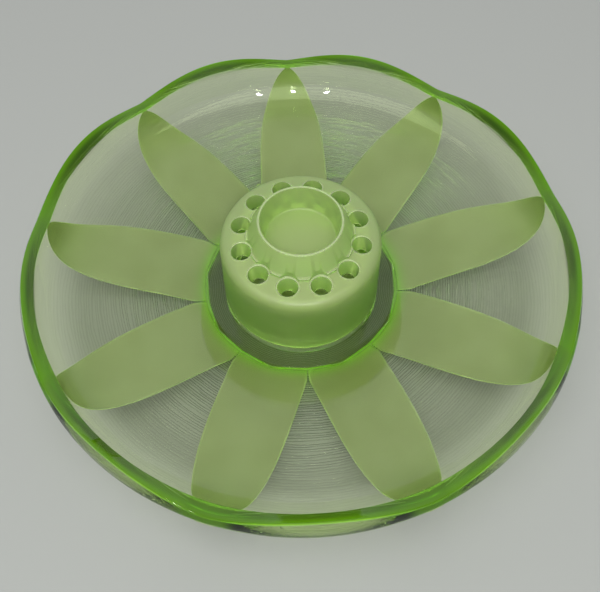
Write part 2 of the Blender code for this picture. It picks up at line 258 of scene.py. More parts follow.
@dataclass(frozen=True)
class EtchedFrogGlass(SatinGlass):
    """The frog's etched glass: thick, so its green deepens, with painted highlights along its edges.

    The lip, the ledge, the foot and the mouths of the stem holes are painted paler, as painted
    highlights, and made glossier than the faces. The top is painted paler too, as painted light from above.
    """

    depth_tint: str = "#c4f000"
    depth_density: float = 48.0
    coat: float = 0.12
    coat_roughness: float = 0.15
    # painted light: the frog's top is made paler and less clear between these heights, as though lit from
    # above
    painted_light_top_colour: str = "#ecf8b0"
    painted_light_top_clearing: float = 0.16
    painted_light_start: float = 44.0 * MM
    painted_light_end: float = 58.0 * MM
    # painted highlight: edges made paler, glossier and less clear
    edge_highlight_colour: str = "#eef8c4"
    edge_highlight_roughness: float = 0.18
    edge_highlight_clearing: float = 0.10
    grain: float = 1.1 * MM
    grain_height: float = 0.02 * MM
    rings: tuple[tuple[float, float, float], ...] = ()
    mouths: tuple[tuple[float, float, float], ...] = ()
    hole_circle: float = 36.8 * MM
    hole_sector: float = math.radians(30)

    def build(self) -> bpy.types.Material:
        """Builds the material.

        Returns:
            The etched glass with its depth, grain, painted light on its top and painted highlights along its
            edges.
        """
        material = super().build()
        tree = material.node_tree
        shader = tree.nodes["Principled BSDF"]
        shader.inputs["Coat Weight"].default_value = self.coat
        shader.inputs["Coat Roughness"].default_value = self.coat_roughness
        edge_highlight, place = self.edge_highlight(tree), add_node(tree, "ShaderNodeTexCoord", {}, {}).outputs["Object"]
        axes = add_node(tree, "ShaderNodeSeparateXYZ", {}, {0: place}).outputs
        # painted light: paler towards the top
        rise = {"Value": axes[2], "From Min": self.painted_light_start, "From Max": self.painted_light_end}
        top = add_node(tree, "ShaderNodeMapRange", {}, rise).outputs[0]
        colour = shader.inputs["Base Color"].links[0].from_socket
        clear: Any = self.transmission
        # painted light on the top, then painted highlights on the edges: each paler and less clear
        for share, tint, clearing in (
            (top, self.painted_light_top_colour, self.painted_light_top_clearing),
            (edge_highlight, self.edge_highlight_colour, self.edge_highlight_clearing),
        ):
            colour = colour_mix(tree, {"Factor": share, "A": colour, "B": linear(tint)})
            lost = {0: share, 1: -clearing, 2: clear}
            clear = add_node(tree, "ShaderNodeMath", {"operation": "MULTIPLY_ADD"}, lost).outputs[0]
        tree.links.new(colour, shader.inputs["Base Color"])
        tree.links.new(clear, shader.inputs["Transmission Weight"])
        between = {"Value": edge_highlight, "To Min": self.roughness, "To Max": self.edge_highlight_roughness}
        held = add_node(tree, "ShaderNodeMapRange", {}, between)
        tree.links.new(held.outputs[0], shader.inputs["Roughness"])
        pits = add_node(tree, "ShaderNodeTexNoise", {}, {"Vector": place, "Scale": 1 / self.grain})
        push = {"Strength": 1.0, "Distance": self.grain_height, "Height": pits.outputs["Fac"]}
        bump = add_node(tree, "ShaderNodeBump", {}, push)
        tree.links.new(bump.outputs[0], shader.inputs["Normal"])
        depth = {"Color": linear(self.depth_tint), "Density": self.depth_density}
        absorb = add_node(tree, "ShaderNodeVolumeAbsorption", {}, depth)
        tree.links.new(absorb.outputs[0], tree.nodes["Material Output"].inputs["Volume"])
        return material

    def edge_highlight(self, tree: bpy.types.NodeTree) -> Any:
        """Finds how near each point is to an edge that takes a painted highlight.

        Args:
            tree: The material's node tree.

        Returns:
            A socket that is 1 on a painted highlight along an edge and 0 away from it.
        """
        place = add_node(tree, "ShaderNodeTexCoord", {}, {}).outputs["Object"]
        axes = add_node(tree, "ShaderNodeSeparateXYZ", {}, {0: place}).outputs
        flat = add_node(tree, "ShaderNodeCombineXYZ", {}, {0: axes[0], 1: axes[1]}).outputs[0]
        radius = add_node(tree, "ShaderNodeVectorMath", {"operation": "LENGTH"}, {0: flat}).outputs["Value"]
        angle = add_node(tree, "ShaderNodeMath", {"operation": "ARCTAN2"}, {0: axes[0], 1: axes[1]})
        folding = {0: angle.outputs[0], 1: self.hole_sector / 2}
        folded = add_node(tree, "ShaderNodeMath", {"operation": "PINGPONG"}, folding)
        aside = {0: self.hole_sector / 2, 1: folded.outputs[0]}
        turn = add_node(tree, "ShaderNodeMath", {"operation": "SUBTRACT"}, aside).outputs[0]
        legs = []
        for operation in ("COSINE", "SINE"):
            part = add_node(tree, "ShaderNodeMath", {"operation": operation}, {0: turn}).outputs[0]
            legs.append(add_node(tree, "ShaderNodeMath", {"operation": "MULTIPLY"}, {0: part, 1: radius}))
        beside = add_node(tree, "ShaderNodeCombineXYZ", {}, {0: legs[0].outputs[0], 1: legs[1].outputs[0]})
        gap = {0: beside.outputs[0], 1: (self.hole_circle, 0.0, 0.0)}
        away = add_node(tree, "ShaderNodeVectorMath", {"operation": "DISTANCE"}, gap).outputs["Value"]
        total: Any = 0.0
        for across, lines in ((radius, self.rings), (away, self.mouths)):
            spot = add_node(tree, "ShaderNodeCombineXYZ", {}, {0: across, 1: axes[2]}).outputs[0]
            for far, high, width in lines:
                line = {0: spot, 1: (far, high, 0.0)}
                space = add_node(tree, "ShaderNodeVectorMath", {"operation": "DISTANCE"}, line)
                fade = {"Value": space.outputs["Value"], "From Min": width, "From Max": width * 0.25}
                near = add_node(tree, "ShaderNodeMapRange", {"interpolation_type": "SMOOTHSTEP"}, fade)
                both = {0: near.outputs[0], 1: total}
                total = add_node(tree, "ShaderNodeMath", {"operation": "MAXIMUM"}, both).outputs[0]
        return total


@dataclass(frozen=True)
class RoundRepeat:
    """Repeats one sector of a round piece about the upright axis with Geometry Nodes."""

    name: str = "round_repeat"

    def tree(self) -> bpy.types.NodeTree:
        """Builds the node tree.

        Returns:
            A tree with inputs for the sector, the count, the join distance and two finishes.
        """
        tree = bpy.data.node_groups.new(self.name, "GeometryNodeTree")
        face = tree.interface
        kinds = {"Sector": "Geometry", "Count": "Int", "First Angle": "Float", "Join Distance": "Float"}
        kinds |= {"Finish": "Material", "Edge Finish": "Material"}
        for label, kind in kinds.items():
            face.new_socket(label, in_out="INPUT", socket_type=f"NodeSocket{kind}")
        face.new_socket("Piece", in_out="OUTPUT", socket_type="NodeSocketGeometry")
        given = add_node(tree, "NodeGroupInput", {}, {}).outputs
        line = add_node(tree, "GeometryNodeMeshLine", {}, {"Count": given["Count"], "Offset": (0, 0, 0)})
        index = add_node(tree, "GeometryNodeInputIndex", {}, {})
        step = add_node(tree, "ShaderNodeMath", {"operation": "DIVIDE"}, {0: math.tau, 1: given["Count"]})
        turned = {0: index.outputs[0], 1: step.outputs[0], 2: given["First Angle"]}
        turn = add_node(tree, "ShaderNodeMath", {"operation": "MULTIPLY_ADD"}, turned)
        angle = add_node(tree, "ShaderNodeCombineXYZ", {}, {"Z": turn.outputs[0]})
        placed = {"Points": line.outputs[0], "Instance": given["Sector"], "Rotation": angle.outputs[0]}
        copies = add_node(tree, "GeometryNodeInstanceOnPoints", {}, placed)
        real = add_node(tree, "GeometryNodeRealizeInstances", {}, {0: copies.outputs[0]})
        joined = {"Geometry": real.outputs[0], "Distance": given["Join Distance"]}
        whole = add_node(tree, "GeometryNodeMergeByDistance", {}, joined)
        edge = add_node(tree, "GeometryNodeInputNamedAttribute", {"data_type": "BOOLEAN"}, {"Name": "edge"})
        body = {"Geometry": whole.outputs[0], "Material": given["Finish"]}
        dressed = add_node(tree, "GeometryNodeSetMaterial", {}, body)
        trim = {"Geometry": dressed.outputs[0], "Selection": edge.outputs[0]}
        trim |= {"Material": given["Edge Finish"]}
        trimmed = add_node(tree, "GeometryNodeSetMaterial", {}, trim)
        add_node(tree, "NodeGroupOutput", {}, {"Piece": trimmed.outputs[0]})
        return tree

    def apply(
        self,
        sector: bpy.types.Object,
        count: int,
        finish: bpy.types.Material | None = None,
        edge_finish: bpy.types.Material | None = None,
        first_angle: float = 0.0,
        join: float = 0.01 * MM,
    ) -> bpy.types.Mesh:
        """Repeats a sector and returns the result as a plain mesh.

        Args:
            sector: The object that holds one sector. It is removed.
            count: How many sectors make the round.
            finish: The material of the whole piece.
            edge_finish: The material of faces marked as edge.
            first_angle: Turn of the first sector about the axis.
            join: Points nearer than this are joined.

        Returns:
            The mesh of the whole round.
        """
        modifier = sector.modifiers.new(self.name, "NODES")
        tree = modifier.node_group = self.tree()
        values = {"Count": count, "First Angle": first_angle, "Join Distance": join}
        values |= {"Finish": finish, "Edge Finish": edge_finish}
        for item in tree.interface.items_tree:
            if item.name in values and item.in_out == "INPUT" and values[item.name] is not None:
                modifier[item.identifier] = values[item.name]
        bpy.context.view_layer.update()
        graph = bpy.context.evaluated_depsgraph_get()
        mesh = bpy.data.meshes.new_from_object(sector.evaluated_get(graph))
        sector.modifiers.remove(modifier)
        bpy.data.objects.remove(sector, do_unlink=True)
        bpy.data.node_groups.remove(tree)
        return mesh


def show(name: str, mesh: bpy.types.Mesh) -> bpy.types.Object:
    """Puts a mesh in the scene as an object at the origin.

    Args:
        name: The object's and mesh's name.
        mesh: The mesh.

    Returns:
        The new object.
    """
    mesh.name = name
    obj = bpy.data.objects.new(name, mesh)
    bpy.context.scene.collection.objects.link(obj)
    return obj


def report(obj: bpy.types.Object) -> None:
    """Logs a piece's name, triangles and size."""
    size = tuple(round(length / MM, 1) for length in obj.dimensions)
    obj.data.calc_loop_triangles()
    LOG.info("%s: %d triangles, %s mm", obj.name, len(obj.data.loop_triangles), size)


@dataclass
class Skin:
    """A grid of points over one sector, row by row, with what the finishes read at each face."""

    points: list[Point] = field(default_factory=list)
    faces: list[tuple[int, ...]] = field(default_factory=list)
    runs: list[tuple[tuple[float, float], ...]] = field(default_factory=list)
    ripple: list[float] = field(default_factory=list)
    edge: list[bool] = field(default_factory=list)
    # rim green tint and painted glow strength at each point
    rim: list[float] = field(default_factory=list)
    # painted shade on the foot ring at each point
    foot_shade: list[float] = field(default_factory=list)

    def add_point(self, angle: float, radius: float, height: float, rim: float = 0.0) -> int:
        """Adds a point by angle, radius and height.

        Args:
            angle: Clockwise from +Y, seen from above.
            radius: Distance from the axis.
            height: Height above the table.
            rim: How strongly the rim's green tint and painted glow show here, or below 0 how much painted
                shade darkens the foot to olive.

        Returns:
            The point's number.
        """
        self.points.append((radius * math.sin(angle), radius * math.cos(angle), height))
        self.rim.append(max(rim, 0.0))
        # a rim value below 0 is painted shade on the foot ring
        self.foot_shade.append(max(-rim, 0.0))
        return len(self.points) - 1

    def add_face(
        self,
        corners: tuple[int, ...],
        run: tuple[tuple[float, float], ...] | None = None,
        ripple: float = 0.0,
        edge: bool = False,
    ) -> None:
        """Adds a face.

        Args:
            corners: The numbers of its points.
            run: For each corner, its way round the wall and its way up the wall.
            ripple: How strongly the ripples show on it.
            edge: Whether it takes the edge finish.
        """
        self.faces.append(corners)
        self.runs.append(run or ((0.0, 0.0),) * len(corners))
        self.ripple.append(ripple)
        self.edge.append(edge)

    def sector(self) -> bpy.types.Object:
        """Makes the sector's object.

        Returns:
            An object with its UV map and attributes.
        """
        mesh = bpy.data.meshes.new("sector")
        mesh.from_pydata(self.points, [], self.faces)
        layer = mesh.uv_layers.new(name="run")
        layer.data.foreach_set("uv", np.array([v for run in self.runs for uv in run for v in uv], float))
        ripple = mesh.attributes.new("ripple", "FLOAT", "CORNER")
        ripple.data.foreach_set("value", [r for r, f in zip(self.ripple, self.faces) for _ in f])
        for name, values in (("rim", self.rim), ("foot_shade", self.foot_shade)):
            mesh.attributes.new(name, "FLOAT", "POINT").data.foreach_set("value", values)
        edge = mesh.attributes.new("edge", "BOOLEAN", "FACE")
        edge.data.foreach_set("value", self.edge)
        mesh.update()
        return show("sector", mesh)


@dataclass(frozen=True)
class BowlSizes:
    """The bowl's sizes."""

    radius: float = 166.3 * MM
    height: float = 60.7 * MM
    petals: int = 9
    floor_thickness: float = 8.0 * MM
    floor_radius: float = 62.0 * MM
    foot_corner: float = 64.7 * MM
    foot_gap: float = 63.1 * MM
    foot_height: float = 2.2 * MM
    foot_chamfer: float = 0.7 * MM
    foot_ring: float = 12.0 * MM
    foot_recess: float = 1.0 * MM
    ring_margin: float = 1.2 * MM
    ring_line_pitch: float = 1.2 * MM
    ring_line_depth: float = 0.25 * MM
    wall: float = 5.5 * MM
    rim: float = 9.2 * MM
    wall_top_drop: float = 12.7 * MM
    start_reach: float = 0.60
    start_rise: float = 0.50
    end_rise: float = 0.80
    thickening: float = 0.60
    scallop_depth: float = 9.2 * MM
    scallop_power: float = 1.3
    notch_set_in: float = 1.9 * MM
    scallop_lean: float = 2.4 * MM
    crease_set_in: float = 9.5 * MM
    crease_drop_notch: float = 1.4 * MM
    crease_drop_scallop: float = 5.3 * MM
    rim_rounding: float = 1.0 * MM
    petal_half_width: float = 23.7 * MM
    petal_power: float = 5.2
    petal_relief: float = 0.6 * MM
    petal_skin: float = 0.05 * MM
    petal_fade_start: float = 0.80

    @property
    def sector(self) -> float:
        """The angle of one petal and the gap beside it."""
        return math.tau / self.petals


@dataclass(frozen=True)
class BowlGreensAndGlow:
    """How strongly the rim's green tint and its painted glow show at each place, or below 0 how much painted
    shade darkens the foot ring to olive.
    """

    # below 0: painted shade darkening the foot ring to olive, half as much on the raised lines
    ring: float = -1.0
    ring_line: float = -0.5
    # above 0: green tint plus painted glow on the foot's edge and side, the low wall and the rim
    foot_edge: float = 0.5
    foot_side: float = 0.75
    wall_fade: float = 0.10
    notch_side: float = 0.7
    scallop_side: float = 0.05
    side_fade_degrees: float = 3.0
    rim_edge: float = 1.0
    notch_bevel: float = 0.8
    scallop_bevel: float = 0.28
    bevel_fade: float = 1.9


class WallLine:
    """The bowl's inner line from floor to rim, read by the share of its length."""

    def __init__(self, sizes: BowlSizes, steps: int = 400) -> None:
        """Draws the line.

        Args:
            sizes: The bowl's sizes.
            steps: How many straight pieces stand for the curve.
        """
        self.sizes = sizes
        start = Vector((sizes.floor_radius, sizes.floor_thickness))
        end = Vector((sizes.radius - sizes.rim, sizes.height - sizes.wall_top_drop))
        span = end - start
        first = start + Vector((span.x * sizes.start_reach, span.y * sizes.start_rise))
        last = end - Vector((0.0, span.y * sizes.end_rise))
        t = np.linspace(0, 1, steps + 1)[:, None]
        u = 1 - t
        handles = [np.array(handle) for handle in (start, first, last, end)]
        parts = (u**3, 3 * u * u * t, 3 * u * t * t, t**3)
        self.points = sum(part * handle for part, handle in zip(parts, handles))
        lengths = np.linalg.norm(np.diff(self.points, axis=0), axis=1)
        self.lengths = np.concatenate([[0.0], np.cumsum(lengths)])

    @property
    def length(self) -> float:
        """The line's whole length."""
        return float(self.lengths[-1])

    def read(self, share: float) -> tuple[Vector, Vector]:
        """Reads the line.

        Args:
            share: Share of the line's length.

        Returns:
            The point, and the unit normal out of the bowl's underside.
        """
        wanted = share * self.length
        inner = Vector([float(np.interp(wanted, self.lengths, self.points[:, axis])) for axis in (0, 1)])
        step = self.length / 200
        ends = [
            [float(np.interp(wanted + side, self.lengths, self.points[:, axis])) for axis in (0, 1)]
            for side in (-step, step)
        ]
        along = (Vector(ends[1]) - Vector(ends[0])).normalized()
        return inner, Vector((along.y, -along.x))

    def outside(self, share: float, proud: float = 0.0) -> tuple[float, float]:
        """Returns the outer side's radius and height at this share, standing proud by so much."""
        point, normal = self.read(share)
        deep = self.thickness(share) + proud
        return point.x + normal.x * deep, point.y + normal.y * deep

    def thickness(self, share: float) -> float:
        """Returns the wall's thickness at this share of its length."""
        start = self.sizes.thickening
        return mix(self.sizes.wall, self.sizes.rim, eased((share - start) / (1 - start)))

    def half_petal(self, share: float) -> float:
        """Returns half of a petal's width at this share, as an angle."""
        sizes = self.sizes
        width = sizes.petal_half_width * (1 - share**sizes.petal_power)
        half = math.asin(min(width / self.read(share)[0].x, 1.0))
        return min(half, sizes.sector / 2 - math.radians(0.5))


@dataclass
class Bowl:
    """The float bowl: clear pressed glass, with an etched skin on each raised petal.

    The starts, ends and fades along the wall are shares of its length.
    """

    sizes: BowlSizes = field(default_factory=BowlSizes)
    clear: ClearGlass = field(default_factory=ClearGlass)
    satin: SatinGlass = SatinGlass("etched_petal_glass", "#cfdf9c", "#c3d48a", 0.45, 0.5)
    # the petal edge is fire-polished with low roughness, painted paler as a painted highlight, with a faint
    # painted glow
    border: SatinGlass = SatinGlass("fire_polished_petal_edge_painted_highlight", "#e6f4b8", "#d8ec9c", 0.12, 0.5, painted_glow=0.03)
    greens_and_glow: BowlGreensAndGlow = field(default_factory=BowlGreensAndGlow)
    facet_half: float = math.radians(13.5)
    facet_half_height: float = 0.46
    facet_depth: float = 0.5 * MM
    shoulder_bow: float = 2.2
    wall_start: float = 0.012
    petal_end: float = 0.992
    petal_tip: float = 0.35
    top_ripple: float = 0.15
    petal_border: float = 0.7 * MM
    petal_rows: int = 60
    petal_columns: int = 12
    gap_columns: int = 46
    wall_rows: int = 42
    shoulder_rows: int = 10
    edge_rows: int = 4
    bevel_rows: int = 6
    underside_rings: tuple[float, ...] = (4 * MM, 15 * MM, 30 * MM, 42 * MM)
    floor_rings: tuple[float, ...] = (60 * MM, 56 * MM, 51 * MM, 42 * MM, 30 * MM, 15 * MM, 4 * MM)

    def __post_init__(self) -> None:
        """Draws the wall's line."""
        self.line = WallLine(self.sizes)

    def scallop(self, angle: float) -> float:
        """Returns 0 at a notch, over a petal's middle, and 1 at the top of a scallop."""
        share = (angle / self.sizes.sector) % 1.0
        return math.sin(math.pi * share) ** self.sizes.scallop_power if 0 < share < 1 else 0.0

    def rim_edge(self, angle: float) -> tuple[float, float]:
        """Returns the radius and height of the rim's outer edge."""
        sizes, rise = self.sizes, self.scallop(angle)
        radius = sizes.radius - sizes.notch_set_in - sizes.scallop_lean * rise
        return radius, sizes.height - sizes.scallop_depth * (1 - rise)

    def rim_crease(self, angle: float) -> tuple[float, float]:
        """Returns the radius and height of the line where the rim's inner bevel begins."""
        sizes = self.sizes
        drop = mix(sizes.crease_drop_notch, sizes.crease_drop_scallop, self.scallop(angle))
        return sizes.radius - sizes.crease_set_in, self.rim_edge(angle)[1] - drop

    def foot_edge(self, angle: float) -> float:
        """Returns the radius of the eighteen-sided foot."""
        sizes, half = self.sizes, self.sizes.sector / 2
        turn = abs(angle) % self.sizes.sector
        turn = turn if turn < half else self.sizes.sector - turn
        far, near = sizes.foot_corner, sizes.foot_gap
        return far * near * math.sin(half) / (far * math.sin(turn) + near * math.sin(half - turn))

    def columns(self, half_petal: float) -> list[tuple[float, Zone]]:
        """Spreads one row's points over a sector, from one petal's middle to the next.

        Args:
            half_petal: Half of the petal's width in this row, as an angle.

        Returns:
            Each point's angle and the zone of the strip that starts there.
        """
        whole, least = self.sizes.sector, math.radians(0.35)
        petal = min(max(half_petal, least), whole / 2 - least)
        side = self.petal_columns // 2
        left = [(mix(0.0, petal, n / side), Zone.PETAL) for n in range(side)]
        gap = [(mix(petal, whole - petal, n / self.gap_columns), Zone.GAP) for n in range(self.gap_columns)]
        right = [(mix(whole - petal, whole, n / side), Zone.PETAL) for n in range(side + 1)]
        return left + gap + right

    def rows(self) -> list[Row]:
        """Lists the sector's rows from the middle of the underside, over the rim, to the floor.

        Returns:
            For each row, half of the petal's width as an angle, the place of a point by its angle
            (radius, height and how much rim green tint and painted glow, or below 0 painted foot shade), and
            the row's way up the outer wall or -1.
        """
        sizes, line, greens_and_glow = self.sizes, self.line, self.greens_and_glow
        foot_half = line.half_petal(0.0)
        rows: list[Row] = []
        inside = sizes.foot_gap - sizes.foot_ring
        for radius in (*self.underside_rings, inside - sizes.foot_recess):
            rows.append((foot_half, lambda a, r=radius: (r, sizes.foot_recess, 0.0), -1.0))
        lines = int((sizes.foot_ring - sizes.ring_margin) / sizes.ring_line_pitch) * 2
        for number in range(lines + 1):
            radius = inside + number * sizes.ring_line_pitch / 2
            lift = sizes.ring_line_depth if number % 2 else 0.0
            # painted shade: the foot ring darkens to olive, half as much on each raised line
            olive_shade = greens_and_glow.ring_line if number % 2 else greens_and_glow.ring
            rows.append((foot_half, lambda a, r=radius, h=lift, o=olive_shade: (r, h, o), -1.0))
        edge, chamfer, top = self.foot_edge, sizes.foot_chamfer, sizes.foot_height
        bend = chamfer * 0.3
        rows.append((foot_half, lambda a: (edge(a) - chamfer, 0.0, greens_and_glow.ring), -1.0))
        # the foot's chamfer and side take green tint and painted glow
        rows.append((foot_half, lambda a: (edge(a) - bend, bend, greens_and_glow.foot_edge), -1.0))
        rows.append((foot_half, lambda a: (edge(a), chamfer, greens_and_glow.foot_side), -1.0))
        rows.append((foot_half, lambda a: (edge(a), top, greens_and_glow.foot_side), -1.0))
        for number in range(1, self.wall_rows + 1):
            share = mix(self.wall_start, 1.0, (number - 1) / (self.wall_rows - 1))
            place = line.outside(share)
            # green tint and painted glow fading up the wall from the foot's edge
            green = greens_and_glow.foot_side * max(1 - share / greens_and_glow.wall_fade, 0.0) ** 2
            rows.append((line.half_petal(share), lambda a, p=place, g=green: (*p, g), share))
        rows += self.rim_rows()
        for number in range(self.wall_rows, -1, -1):
            point = line.read(number / self.wall_rows)[0]
            rows.append((sizes.sector / 5, lambda a, p=point: (p.x, p.y, 0.0), -1.0))
        for radius in self.floor_rings:
            rows.append((sizes.sector / 5, lambda a, r=radius: (r, sizes.floor_thickness, 0.0), -1.0))
        return rows

    def rim_rows(self) -> list[Row]:
        """Lists the rows over the rim: its bowed shoulder, its rounded edge and its inner bevel.

        Returns:
            Rows in the form that rows() gives.
        """
        sizes, greens_and_glow = self.sizes, self.greens_and_glow
        shoulder = self.line.outside(1.0)

        def side(angle: float, part: float) -> tuple[float, float, float]:
            """Places a point of the bowed shoulder.

            Args:
                angle: Clockwise from +Y, seen from above.
                part: Share of the way up, from the wall to the rim's edge.

            Returns:
                The point's radius and height, and how much rim green tint and painted glow show there.
            """
            radius, height = self.rim_edge(angle)
            top = height - sizes.rim_rounding
            high = mix(shoulder[1], top, part)
            dent = self.facet(angle, part)
            return mix(shoulder[0], radius, part**self.shoulder_bow) - dent, high, self.post(angle)

        def over(angle: float, part: float) -> tuple[float, float, float]:
            """Places a point of the rounded edge.

            Args:
                angle: Clockwise from +Y, seen from above.
                part: Share of the way over, from the outer to the inner side.

            Returns:
                The point's radius and height, and how much rim green tint and painted glow show there.
            """
            radius, height = self.rim_edge(angle)
            inner, low = self.rim_crease(angle)
            turn = math.pi / 2 * part
            slope = (height - low) / (radius - inner)
            bend = sizes.rim_rounding
            back = bend * (1 - math.cos(turn))
            high = height - bend + bend * math.sin(turn) - slope * back * part
            return radius - back, high, greens_and_glow.rim_edge

        def bevel(angle: float, part: float) -> tuple[float, float, float]:
            """Places a point of the inner bevel.

            Args:
                angle: Clockwise from +Y, seen from above.
                part: Share of the way down, from the edge to the crease.

            Returns:
                The point's radius and height, and how much rim green tint and painted glow show there.
            """
            start, (inner, low) = over(angle, 1.0), self.rim_crease(angle)
            least = mix(greens_and_glow.notch_bevel, greens_and_glow.scallop_bevel, self.scallop(angle))
            green = mix(greens_and_glow.rim_edge, least, eased(part * greens_and_glow.bevel_fade))
            return mix(start[0], inner, part), mix(start[1], low, part), green

        edges, bevels = self.edge_rows, self.bevel_rows
        rows = [(lambda a, p=n / self.shoulder_rows: side(a, p)) for n in range(1, self.shoulder_rows)]
        rows += [(lambda a, p=n / edges: over(a, p)) for n in range(edges + 1)]
        rows += [(lambda a, p=n / bevels: bevel(a, p)) for n in range(1, bevels + 1)]
        rows += [(lambda a, p=n / edges: self.below_crease(a, p)) for n in range(1, edges)]
        widths = np.linspace(math.radians(0.35), sizes.sector / 5, len(rows))
        return [(float(width), row, -1.0) for width, row in zip(widths, rows)]

    def facet(self, angle: float, part: float) -> float:
        """Returns the depth of the oval facet pressed into the rim's outer side on each scallop."""
        across = (angle / self.sizes.sector % 1.0 - 0.5) * self.sizes.sector / self.facet_half
        away = across**2 + ((part - 0.5) / self.facet_half_height) ** 2
        return self.facet_depth * math.sqrt(max(1 - away, 0.0))

    def below_crease(self, angle: float, part: float) -> tuple[float, float, float]:
        """Returns a point between the rim's inner crease and the top of the wall's inner line."""
        inner, low = self.rim_crease(angle)
        top = self.line.read(1.0)[0]
        return mix(inner, top.x, part), mix(low, top.y, part), 0.0

    def post(self, angle: float) -> float:
        """Returns how strong the rim outer side's green tint and painted glow are: full at a notch, little at
        a scallop.
        """
        away = abs((angle / self.sizes.sector + 0.5) % 1.0 - 0.5) * math.degrees(self.sizes.sector)
        greens_and_glow, fade = self.greens_and_glow, self.greens_and_glow.side_fade_degrees
        return mix(greens_and_glow.notch_side, greens_and_glow.scallop_side, eased((away - fade) / fade))

    def clear_sector(self) -> bpy.types.Object:
        """Makes one sector of the clear body, closed but for its two cut sides.

        Returns:
            The sector's object.
        """
        skin, before = Skin(), None
        middle = (self.sizes.floor_radius + self.sizes.radius) / 2
        low = skin.add_point(0.0, 0.0, self.sizes.foot_recess)
        for half_petal, place, share in self.rows():
            row = []
            for angle, zone in self.columns(half_petal):
                radius, height, green = place(angle)
                row.append((skin.add_point(angle, radius, height, green), angle, zone, share))
            for n in range(len(row) - 1):
                if before is None:
                    skin.add_face((low, row[n][0], row[n + 1][0]))
                    continue
                corners = (before[n], row[n], row[n + 1], before[n + 1])
                rippled = row[n][2] is Zone.GAP and min(corner[3] for corner in corners) >= 0
                run = tuple((c[1] * middle, max(c[3], 0.0) * self.line.length) for c in corners)
                strength = mix(1.0, self.top_ripple, eased(corners[0][3])) if rippled else 0.0
                skin.add_face(tuple(c[0] for c in corners), run, strength)
            before = row
        high = skin.add_point(0.0, 0.0, self.sizes.floor_thickness)
        for n in range(len(before) - 1):
            skin.add_face((before[n][0], high, before[n + 1][0]))
        return skin.sector()

    def petal_sector(self) -> bpy.types.Object:
        """Makes one petal's raised skin, a thin closed shell on the outer side of the wall.

        Returns:
            The petal's object, with its border marked as edge.
        """
        sizes, line, skin = self.sizes, self.line, Skin()
        shells: list[list[list[int]]] = []
        rows = self.petal_rows
        shares = [mix(self.wall_start, self.petal_end, n / rows) for n in range(rows + 1)]
        marks: list[float] = []
        for proud in (sizes.petal_skin, sizes.petal_relief):
            shell = []
            for share in shares:
                half = line.half_petal(share)
                fade = eased((share - sizes.petal_fade_start) / (shares[-1] - sizes.petal_fade_start))
                tip = max(sizes.petal_skin, proud * self.petal_tip)
                radius, height = line.outside(share, mix(proud, tip, fade))
                trim = min(self.petal_border / (2 * half * radius), 0.2)
                marks = [0.0, trim] + [mix(trim, 1 - trim, n / 10) for n in range(1, 10)] + [1 - trim, 1.0]
                shell.append([skin.add_point(mix(-half, half, m), radius, height) for m in marks])
            shells.append(shell)
        inner, outer = shells
        last, ends = len(marks) - 2, (0, len(shares) - 1)
        for r in range(len(shares) - 1):
            for c in range(len(marks) - 1):
                trim = c in (0, last)
                face = (outer[r][c], outer[r + 1][c], outer[r + 1][c + 1], outer[r][c + 1])
                skin.add_face(face, edge=trim)
                face = (inner[r][c], inner[r][c + 1], inner[r + 1][c + 1], inner[r + 1][c])
                skin.add_face(face, edge=trim)
            for c in (0, last + 1):
                side = (inner[r][c], inner[r + 1][c], outer[r + 1][c], outer[r][c])
                skin.add_face(side if c == 0 else side[::-1], edge=True)
        for r in ends:
            for c in range(len(marks) - 1):
                side = (inner[r][c], outer[r][c], outer[r][c + 1], inner[r][c + 1])
                skin.add_face(side if r == 0 else side[::-1], edge=True)
        return skin.sector()

    def build(self) -> list[bpy.types.Object]:
        """Builds and dresses the bowl's pieces.

        Returns:
            The clear body and the petals' skins.
        """
        repeat = RoundRepeat()
        glass, satin, border = self.clear.build(), self.satin.build(), self.border.build()
        pieces = [
            show("bowl_clear_body", repeat.apply(self.clear_sector(), self.sizes.petals, glass, glass)),
            show("bowl_petals", repeat.apply(self.petal_sector(), self.sizes.petals, satin, border)),
        ]
        for piece in pieces:
            finish_mesh(piece, 40)
            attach(piece, "bowl")
            report(piece)
        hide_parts("float_bowl")
        return pieces


def finish_mesh(piece: bpy.types.Object, crease: float) -> None:
    """Turns a piece's faces outwards and shades it smooth up to a crease angle.

    Args:
        piece: The piece.
        crease: The least angle between faces that stays sharp, in degrees.
    """
    mesh = bmesh.new()
    mesh.from_mesh(piece.data)
    bmesh.ops.recalc_face_normals(mesh, faces=mesh.faces)
    mesh.to_mesh(piece.data)
    mesh.free()
    piece.data.shade_smooth()
    piece.data.set_sharp_from_angle(angle=math.radians(crease))


def closed_mesh(name: str, mesh: bmesh.types.BMesh) -> bpy.types.Mesh:
    """Turns a closed body's faces outwards and makes it a plain mesh.

    Args:
        name: The mesh's name.
        mesh: The body, which is freed.

    Returns:
        The plain mesh.
    """
    bmesh.ops.recalc_face_normals(mesh, faces=mesh.faces)
    data = bpy.data.meshes.new(name)
    mesh.to_mesh(data)
    mesh.free()
    return data


